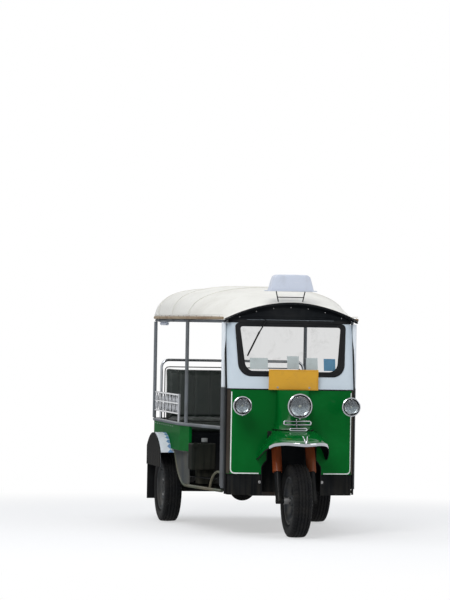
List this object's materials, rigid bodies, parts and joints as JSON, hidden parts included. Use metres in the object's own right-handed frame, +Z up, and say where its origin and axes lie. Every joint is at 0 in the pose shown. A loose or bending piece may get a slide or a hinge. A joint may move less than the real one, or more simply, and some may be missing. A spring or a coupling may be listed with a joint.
{
  "type": "auto rickshaw",
  "caption": "Three-wheeled passenger taxi with an arched vinyl roof, an open-sided rear bench, a single steered front wheel and a rounded nose with a fender hood",
  "frame": {"origin": "on the ground under the middle of the vehicle's box", "axes": "+Z up, -Y is the direction it drives in, +X is the vehicle's own left side"},
  "size_m": [1.448, 2.97, 1.94],
  "materials": {
    "green_paint": "gloss green enamel",
    "pale_paint": "pale blue-white enamel",
    "dark_paint": "black chassis paint",
    "cast_iron": "oily casting",
    "grey_paint": "grey painted tube",
    "steel": "dull steel",
    "aluminium_plate": "tread plate",
    "chrome": "bright chrome",
    "lamp_glass": "fluted lamp glass",
    "screen_glass": "clear laminated glass",
    "black_rubber": "matt black rubber",
    "tyre": "worn black tread",
    "rim_paint": "silver wheel paint",
    "orange_paint": "faded orange paint",
    "dark_vinyl": "dark green-black vinyl",
    "roof_vinyl": "cream coated cloth",
    "yellow_plate": "yellow plate, blank",
    "red_lens": "red lens",
    "white_plastic": "white plastic, blank"
  },
  "bodies": {
    "chassis": {"backrest_hoop": "chrome", "bench_backrest": "dark_vinyl", "bench_base": "dark_paint", "bench_cushion": "dark_vinyl", "driver_seat": "dark_vinyl", "engine_block": "cast_iron", "engine_cover": "dark_paint", "exhaust": "steel", "fender_lip": "chrome", "floor_pan": "dark_paint", "frame_crossmembers": "dark_paint", "frame_rails": "dark_paint", "front_panel": "green_paint", "front_skirt": "dark_paint", "grille_bars": "chrome", "lamp_bezels": "chrome", "lamp_bodies": "chrome", "lamp_glasses": "lamp_glass", "leaf_springs": "dark_paint", "lower_side_panels": "grey_paint", "mud_flaps": "black_rubber", "nose_fairing": "green_paint", "number_plates": "yellow_plate", "rear_axle": "dark_paint", "rear_bumper": "chrome", "rear_fenders": "aluminium_plate", "roof_canopy": "roof_vinyl", "roof_frame": "grey_paint", "roof_lamp": "white_plastic", "roof_posts": "grey_paint", "roof_sign": "white_plastic", "roof_visor": "dark_paint", "side_box": "dark_paint", "side_guards": "chrome", "sign_legs": "chrome", "sill_tubes": "grey_paint", "steering_neck": "dark_paint", "tail_lamps": "red_lens", "tail_panel": "green_paint", "tub_rail": "grey_paint", "tub_side_panels": "green_paint", "wheel_well": "dark_paint", "windscreen_glass": "screen_glass", "windscreen_panel": "pale_paint", "windscreen_posts": "steel", "windscreen_rubber": "black_rubber", "wiper": "black_rubber"},
    "steering": {"fork_legs": "dark_paint", "fork_covers": "orange_paint", "front_spindle": "steel", "steering_stem": "dark_paint", "handlebar": "chrome", "grips": "black_rubber"},
    "front_wheel": {"tyre_front": "tyre", "rim_front": "rim_paint"},
    "rear_wheel_right": {"tyre_rear_right": "tyre", "rim_rear_right": "rim_paint"},
    "rear_wheel_left": {"tyre_rear_left": "tyre", "rim_rear_left": "rim_paint"}
  },
  "joints": [
    {"name": "steering_turn", "type": "hinge", "parent": "chassis", "child": "steering", "pos_m": [0, -1.175, 0.27], "axis": [0, 0.342, 0.9397], "range_deg": [-32, 32]},
    {"name": "front_wheel_spin", "type": "hinge", "parent": "steering", "child": "front_wheel", "pos_m": [0, -1.215, 0.27], "axis": [1, 0, 0], "continuous": true},
    {"name": "rear_right_spin", "type": "hinge", "parent": "chassis", "child": "rear_wheel_right", "pos_m": [-0.6, 0.775, 0.27], "axis": [1, 0, 0], "continuous": true},
    {"name": "rear_left_spin", "type": "hinge", "parent": "chassis", "child": "rear_wheel_left", "pos_m": [0.6, 0.775, 0.27], "axis": [1, 0, 0], "continuous": true}
  ]
}
